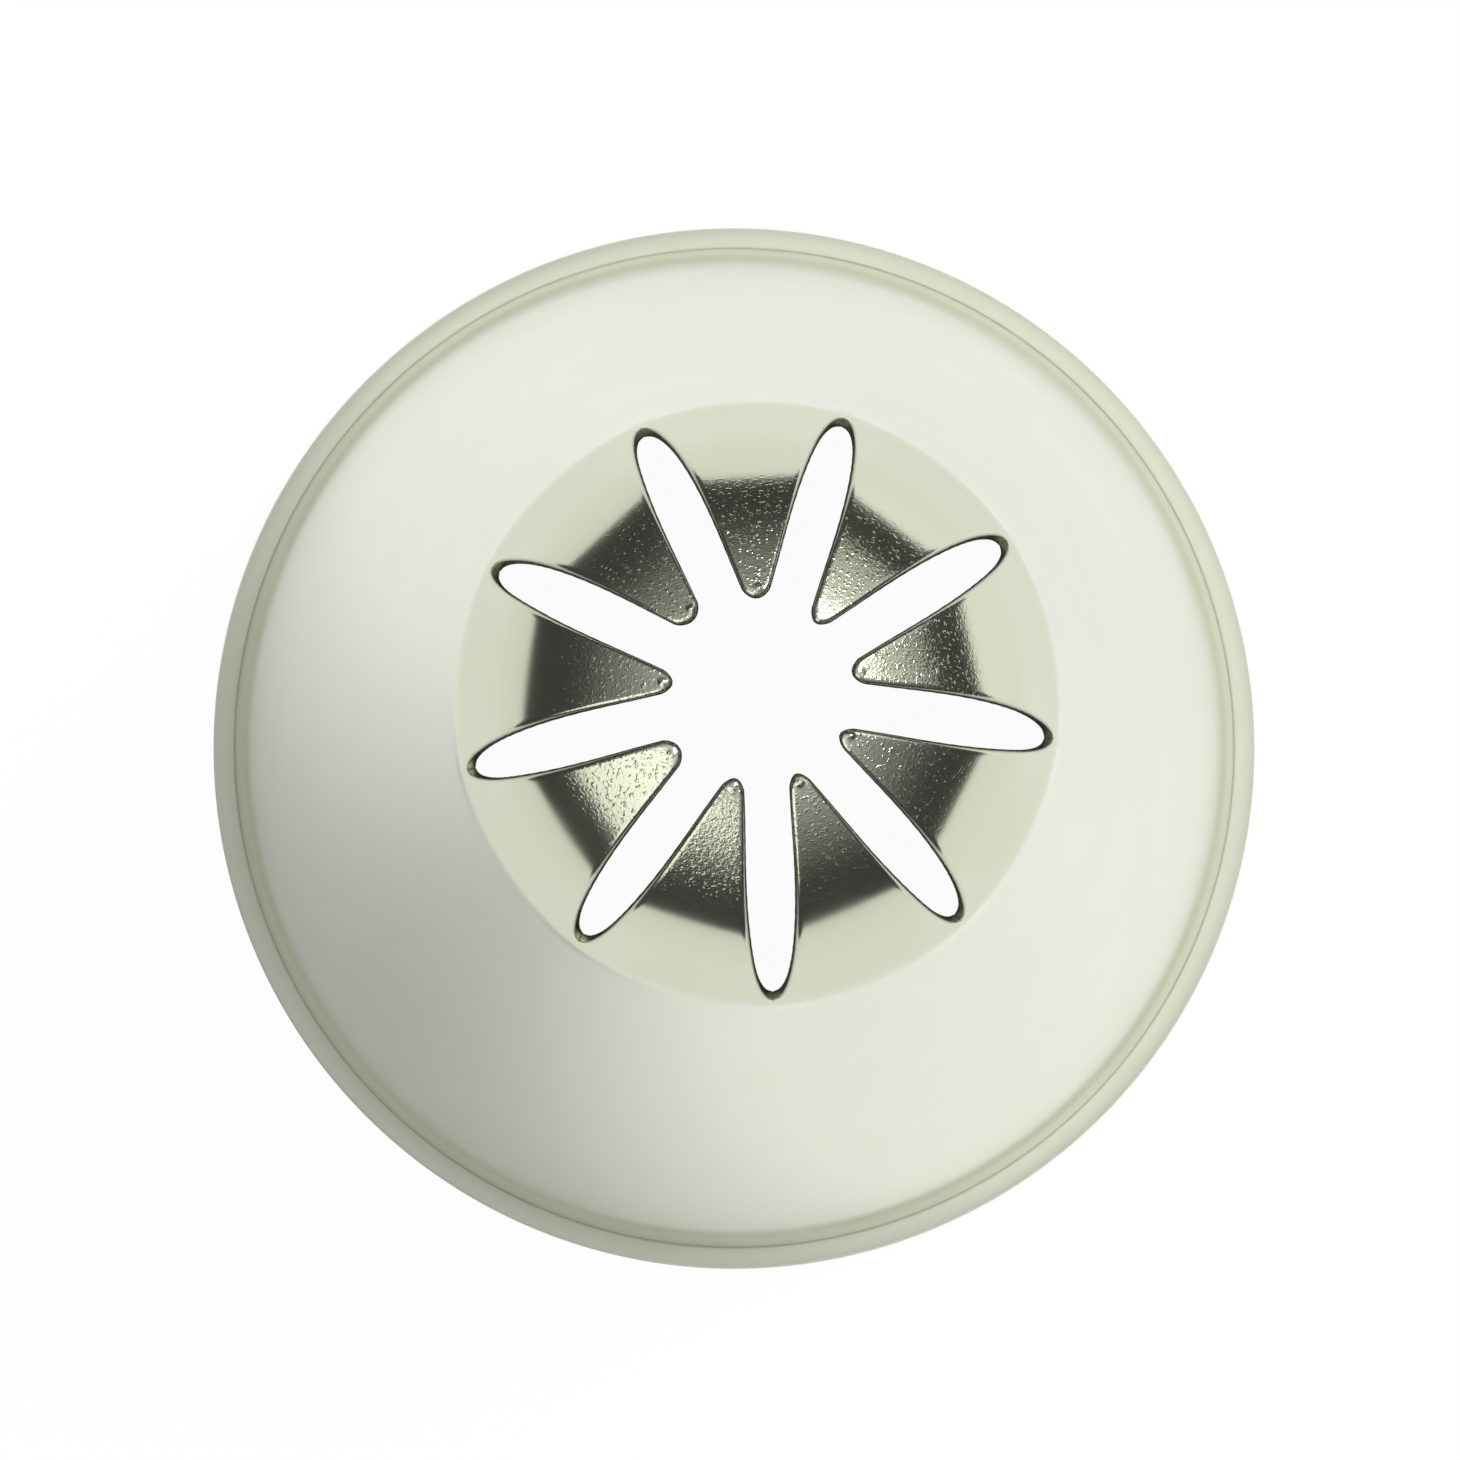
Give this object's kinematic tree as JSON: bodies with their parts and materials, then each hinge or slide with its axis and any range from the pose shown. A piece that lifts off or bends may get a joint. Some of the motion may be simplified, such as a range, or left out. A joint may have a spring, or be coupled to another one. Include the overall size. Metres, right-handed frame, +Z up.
{
  "type": "piping nozzle",
  "caption": "Closed-star piping nozzle: a seamless tapered steel shell on a rolled rim, its end folded into a domed crown of teeth with narrow slots that shape piped cream.",
  "frame": {"origin": "middle of the circle that the rolled rim stands on", "axes": "+Z up the nozzle's axis from the rim to the toothed crown; one slot points along -Y and a tooth along +Y"},
  "size_m": [0.026, 0.026, 0.035],
  "materials": {
    "polished_stainless": "bright tumbled stainless steel, smooth on the tapered wall and lightly orange-peeled on the folded teeth"
  },
  "bodies": {
    "root": {"nozzle_body": "polished_stainless"}
  },
  "joints": []
}
